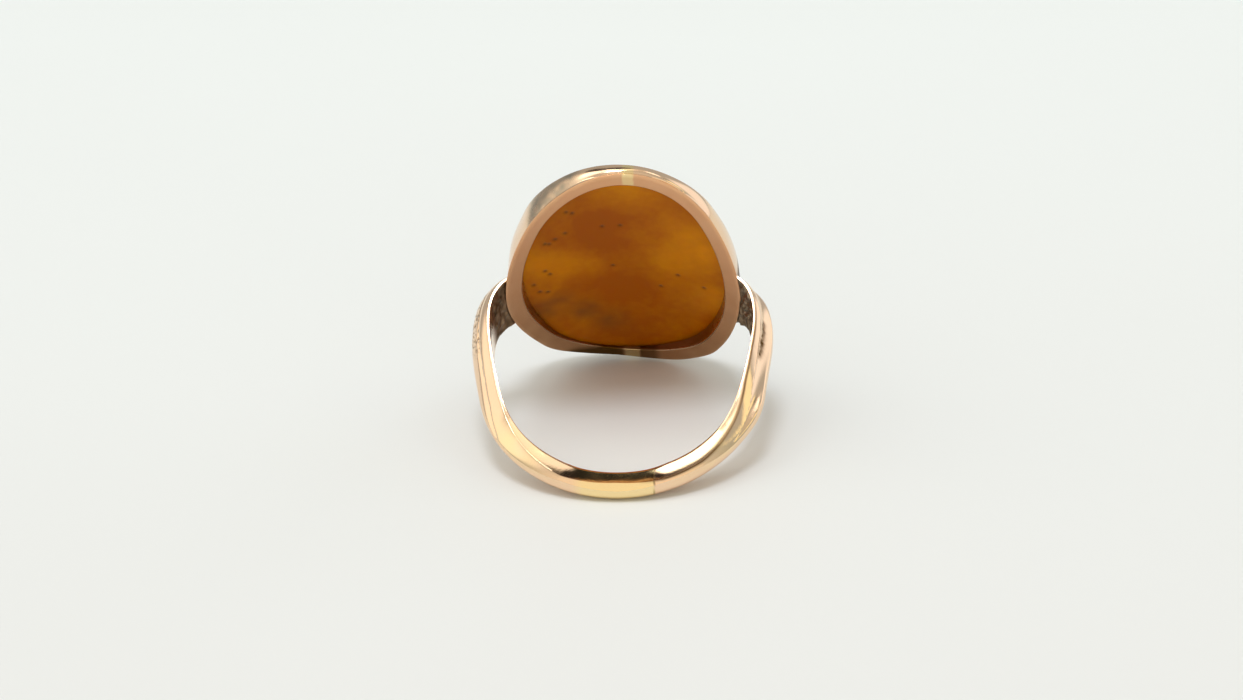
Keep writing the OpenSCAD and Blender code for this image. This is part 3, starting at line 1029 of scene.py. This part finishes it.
# Rings of petals as in the CAD: ring radius, petal radius, height, count, turn in degrees
PETALS = (
    (0.62, 0.38, 0.45, 6, 0),
    (0.34, 0.32, 0.75, 5, 20),
    (0.14, 0.22, 0.9, 3, 50),
    (0.00, 0.14, 1.00, 1, 0),
)
OPEN_W = HALF_W - WALL_T - LIP_W
OPEN_L = HALF_L - WALL_T - LIP_W
ROSE_PLACE = 0.12 * OPEN_L
# Leaves as across, along and turn; buds as across, along, radius and height
LEAVES = (
    (-0.50, -0.28, 50), (0.50, -0.28, -50), (-0.34, -0.62, 28), (0.34, -0.62, -28), (-0.40, 0.60, -32),
    (0.40, 0.60, 32),
)
BUDS = ((0.00, 0.78, 0.34, 0.60), (0.00, -0.84, 0.26, 0.45))
# A leaf's width as a share of its length, the waves of its edge, and its veins and midrib: their
# distance apart, depth and half width
LEAF_SLIM = 0.42
LEAF_WAVE = 0.07
LEAF_WAVES_PER_MM = 9
VEIN_STEP = 0.75
VEIN_DEPTH = 0.07
MIDRIB_DEPTH = 0.14
MIDRIB_W = 0.09
# Half width and height of the stems to the buds
STEM_R = 0.2
STEM_H = 0.24
# Size of the relief's faces, and how deep its underside is sunk in the ground
RELIEF_STEP = 0.06
RELIEF_SINK = 0.12


def petal_rise(s, z, cx, cz, radius, height, lean):
    """Height of a cupped petal whose rim curls up on the side that it leans to"""
    dx, dz = (s - cx) / radius, (z - cz) / radius
    off = math.hypot(dx, dz)
    if off >= 1:
        return 0.0
    cup = 0.72 + 0.2 * off * off + 0.12 * (dx * math.cos(lean) + dz * math.sin(lean))
    return height * cup * math.sqrt(1 - off ** 6)


def rose_rise(s, z, middle_s, middle_z, size, height):
    """Height of a rose: the highest of its petals"""
    best = 0.0
    for out, radius, rise, count, turn in PETALS:
        for i in range(count):
            angle = math.radians(turn + 360 * i / count)
            cx, cz = middle_s + size * out * math.cos(angle), middle_z + size * out * math.sin(angle)
            best = max(best, petal_rise(s, z, cx, cz, size * radius, height * rise, angle + 0.9))
    return best


def leaf_rise(s, z, middle_s, middle_z, turn):
    """Pointed leaf with a sunk midrib and side veins"""
    angle = math.radians(turn)
    ds, dz = s - middle_s, z - middle_z
    along = ds * -math.sin(angle) + dz * math.cos(angle)
    across = ds * math.cos(angle) + dz * math.sin(angle)
    u = along / (LEAF_L / 2)
    if abs(u) >= 1:
        return 0.0
    wave = 1 + LEAF_WAVE * math.sin(along * LEAF_WAVES_PER_MM)
    half = LEAF_L * LEAF_SLIM / 2 * (1 - u * u) ** 0.85 * wave
    v = abs(across) / max(half, 1e-6)
    if v >= 1:
        return 0.0
    veins = VEIN_DEPTH * max(0.0, math.cos((along - abs(across) * 0.8) * 2 * math.pi / VEIN_STEP)) ** 6
    rib = MIDRIB_DEPTH * bump_at(across, 0, MIDRIB_W)
    return max(0.02, LEAF_H * math.sqrt(1 - v ** 4) * (0.75 + 0.25 * v) - veins - rib)


def stem_rise(s, z, start, end):
    """Height of a round stem from start to end"""
    line = end - start
    share = max(0.0, min(1.0, (Vector((s, z)) - start).dot(line) / line.length_squared))
    off = (Vector((s, z)) - start - line * share).length / STEM_R
    return STEM_H * math.sqrt(1 - off * off) if off < 1 else 0.0


def relief_rise(s, z):
    """Height of the carving over the ground, s across it and z along it"""
    rises = [0.0]
    if math.hypot(s, z - ROSE_PLACE) < ROSE_R * 1.05:
        rises.append(rose_rise(s, z, 0, ROSE_PLACE, ROSE_R, ROSE_H))
    for across, along, turn in LEAVES:
        if math.hypot(s - across * OPEN_W, z - along * OPEN_L) < LEAF_L / 2:
            rises.append(leaf_rise(s, z, across * OPEN_W, along * OPEN_L, turn))
    for across, along, radius, height in BUDS:
        if math.hypot(s - across * OPEN_W, z - along * OPEN_L) < ROSE_R * radius * 1.05:
            rises.append(rose_rise(s, z, across * OPEN_W, along * OPEN_L, ROSE_R * radius, ROSE_H * height))
        rises.append(stem_rise(s, z, Vector((0, ROSE_PLACE)), Vector((0, along * OPEN_L))))
    return max(rises)


def relief():
    bm = bmesh.new()
    cells_s, cells_z = round(2 * OPEN_W / RELIEF_STEP), round(2 * OPEN_L / RELIEF_STEP)
    bmesh.ops.create_grid(bm, x_segments=cells_s, y_segments=cells_z, size=1.0)
    height = bm.verts.layers.float.new("height")
    for vert in bm.verts:
        vert.co = Vector((vert.co.x * OPEN_W, vert.co.y * OPEN_L, 0))
        vert[height] = relief_rise(vert.co.x, vert.co.y)
    bare = [face for face in bm.faces if max(v[height] for v in face.verts) <= 0]
    bmesh.ops.delete(bm, geom=bare, context="FACES")
    made = bmesh.ops.extrude_face_region(bm, geom=list(bm.faces), use_keep_orig=True)["geom"]
    under = {v for v in made if isinstance(v, bmesh.types.BMVert)}
    # The flat grid is rolled round the arch of the ground
    ground = SHELL_BACK_R + GROUND_T - SHELL_GAP
    for vert in bm.verts:
        turn = vert.co.x / ground
        out = ground - RELIEF_SINK if vert in under else ground + vert[height]
        vert.co = Vector((out * math.sin(turn), LEDGE_N - SHELL_BACK_R + out * math.cos(turn), vert.co.y))
    return piece("cameo_relief", bm, [carved_shell()], "cameo_stone", crease=60)


band()
bezel()
shell()
relief()

# Stage, light and camera

floor_z = cad_box[0].z
# Colours of the board near the camera and far from it, which paint light falling off towards the camera, the
# mottle of its paint as noise to the metre, and half its size in metres
NEAR_WHITE = "#e1e3e1"
FAR_WHITE = "#e9efee"
MOTTLE_PER_M = 18.0
BOARD_HALF = 1.5


def white_table():
    """Board painted matt white with a roller, which gives soft pale shadows. The paint is a little mottled,
    some 50 mm across. Its colour is also made a little whiter away from the camera, as painted light."""
    material, tree, shader = new_material("white_board")
    place = add(tree, "ShaderNodeTexCoord").outputs["Object"]
    along = add(tree, "ShaderNodeSeparateXYZ", {}, {0: place}).outputs[1]
    mottle = add(tree, "ShaderNodeTexNoise", {"Scale": MOTTLE_PER_M, "Detail": 3.0},
                 {"Vector": place}).outputs["Fac"]
    # Painted light: the board is whiter away from the camera
    patchy = add(tree, "ShaderNodeMath", {"operation": "MULTIPLY_ADD", 1: 0.03}, {0: mottle, 2: along})
    share = add(tree, "ShaderNodeMapRange", {"From Min": -0.03, "From Max": 0.1},
                {"Value": patchy.outputs[0]})
    tone = add(tree, "ShaderNodeMix", {"data_type": "RGBA", 6: linear(NEAR_WHITE), 7: linear(FAR_WHITE)},
               {0: share.outputs[0]})
    tree.links.new(tone.outputs[2], shader.inputs["Base Color"])
    shader.inputs["Roughness"].default_value = 0.6
    bm = bmesh.new()
    bmesh.ops.create_grid(bm, x_segments=2, y_segments=2, size=BOARD_HALF)
    bmesh.ops.translate(bm, vec=(0, 0.6, floor_z), verts=bm.verts)
    mesh = bpy.data.meshes.new("table")
    bm.to_mesh(mesh)
    bm.free()
    mesh.materials.append(material)
    board = bpy.data.objects.new("table", mesh)
    bpy.context.scene.collection.objects.link(board)


white_table()

# Soft light tent round the ring: its tone, and the lighter and darker cards in it as the direction
# they lie in, half their width in degrees inside and out, and their brightness and tint. A later card
# lies over an earlier one. Polished gold shows them as its light and dark places.
TENT = 0.52
TENT_TINT = "#f8fbfb"
CARDS = (
    ("front card", (0, -1, 0.1), 25, 70, 1.0, "#fff4e2"),
    ("top card", (0, 0.0, 1), 10, 46, 0.7, "#fbf0e0"),
    ("left card", (-0.82, -0.05, 0.55), 20, 36, 1.25, "#fffaf0"),
    ("right card", (0.85, 0.45, 0.3), 16, 30, 1.15, "#fdfdff"),
    ("right cream card", (0.77, -0.15, 0.61), 8, 13, 1.25, "#fdf6d2"),
    ("right card's edge", (0.65, -0.05, 0.76), 2, 5, 0.25, "#f0f4d8"),
    ("right lamp", (0.47, 0.04, 0.88), 5, 9, 2.0, "#fffdfa"),
    ("top lamp", (0.04, 0.05, 1), 8, 16, 1.25, "#fff8ee"),
    ("left lamp", (-0.43, 0.0, 0.9), 8, 14, 2.6, "#fffdf8"),
    ("small lamp", (-0.15, 0.14, 0.979), 6, 8.5, 2.8, "#fffdf8"),
    ("black card", (-0.03, 0.42, 0.91), 8, 12, 0.02, "#fff2e0"),
    ("black card's end", (-0.3, 0.38, 0.87), 8, 11, 0.05, "#f0d8d8"),
)


def studio():
    world = bpy.data.worlds.new("studio")
    bpy.context.scene.world = world
    world.use_nodes = True
    tree = world.node_tree
    way = add(tree, "ShaderNodeTexCoord").outputs["Generated"]
    tone = add(tree, "ShaderNodeRGB").outputs[0]
    tone.default_value = [TENT * part for part in linear(TENT_TINT)]
    for name, toward, inside, outside, level, tint in CARDS:
        toward = Vector(toward).normalized()
        facing = add(tree, "ShaderNodeVectorMath", {"operation": "DOT_PRODUCT", 1: toward}, {0: way})
        share = add(tree, "ShaderNodeMapRange",
                    {"interpolation_type": "SMOOTHSTEP", "From Min": math.cos(math.radians(outside)),
                     "From Max": math.cos(math.radians(inside))},
                    {"Value": facing.outputs[1]})
        colour = [level * part for part in linear(tint)]
        card = add(tree, "ShaderNodeMix", {"data_type": "RGBA", 7: colour}, {0: share.outputs[0], 6: tone})
        card.label = name
        tone = card.outputs[2]
    tree.links.new(tone, tree.nodes["Background"].inputs["Color"])


# The round lamp over the ring: its place and width in metres, its power in watts and its tint
LAMP_PLACE = Vector((-0.03, -0.15, 0.68))
LAMP_W = 0.2
LAMP_POWER = 1.6
LAMP_TINT = "#eff4ff"


def soft_lamp():
    light = bpy.data.lights.new("overhead", "AREA")
    light.shape = "DISK"
    light.size = LAMP_W
    light.energy = LAMP_POWER
    light.color = linear(LAMP_TINT)[:3]
    lamp = bpy.data.objects.new("overhead", light)
    lamp.location = LAMP_PLACE
    lamp.rotation_euler = (-LAMP_PLACE).to_track_quat("-Z", "Y").to_euler()
    bpy.context.scene.collection.objects.link(lamp)


studio()
soft_lamp()

# The camera that fits the photograph's outlines: the image's size in pixels, the camera's distance in
# millimetres, its angle off the finger's line, its turn about that line and its roll, the image's scale
# and the place in it of the hole's centre, and the sensor's width in millimetres
PHOTO_W, PHOTO_H = 1243, 700
DISTANCE = 220.0
OFF_AXIS = math.radians(56.5)
SWING = math.radians(-6.7)
ROLL = math.radians(6.0)
PX_PER_MM = 13.61
CENTRE_PX = Vector((620.94, 371.74))
SENSOR_W = 36.0

# Directions in the ring's own frame
swing = Matrix.Rotation(-SWING, 3, "Z")
looking = swing @ Vector((0, math.cos(OFF_AXIS), -math.sin(OFF_AXIS)))
upright = swing @ Vector((0, math.sin(OFF_AXIS), math.cos(OFF_AXIS)))
sideways = swing @ Vector((1, 0, 0))
right = sideways * math.cos(ROLL) - upright * math.sin(ROLL)
up = sideways * math.sin(ROLL) + upright * math.cos(ROLL)
eye = -looking * DISTANCE
focal_px = PX_PER_MM * DISTANCE
# The hole's centre isn't in the middle of the image, so the camera is turned a little off it
off_centre = Vector((PHOTO_W / 2 - CENTRE_PX.x, CENTRE_PX.y - PHOTO_H / 2)) / focal_px
aim = looking + right * off_centre.x + up * off_centre.y
# The same in the scene, where the ring is tipped into its resting pose
tip = AT_REST.to_3x3().normalized()
aim = (tip @ aim).normalized()
right = tip @ right
right = (right - aim * right.dot(aim)).normalized()
camera_data = bpy.data.cameras.new("camera")
camera_data.sensor_width = SENSOR_W
camera_data.lens = focal_px / PHOTO_W * SENSOR_W
camera_data.clip_start = 0.01
camera_data.clip_end = 20.0
camera = bpy.data.objects.new("camera", camera_data)
turned = Matrix((right, right.cross(aim), -aim)).transposed()
camera.matrix_world = Matrix.Translation(AT_REST @ eye) @ turned.to_4x4()
bpy.context.scene.collection.objects.link(camera)
bpy.context.scene.camera = camera
bpy.context.scene.view_settings.view_transform = "Standard"
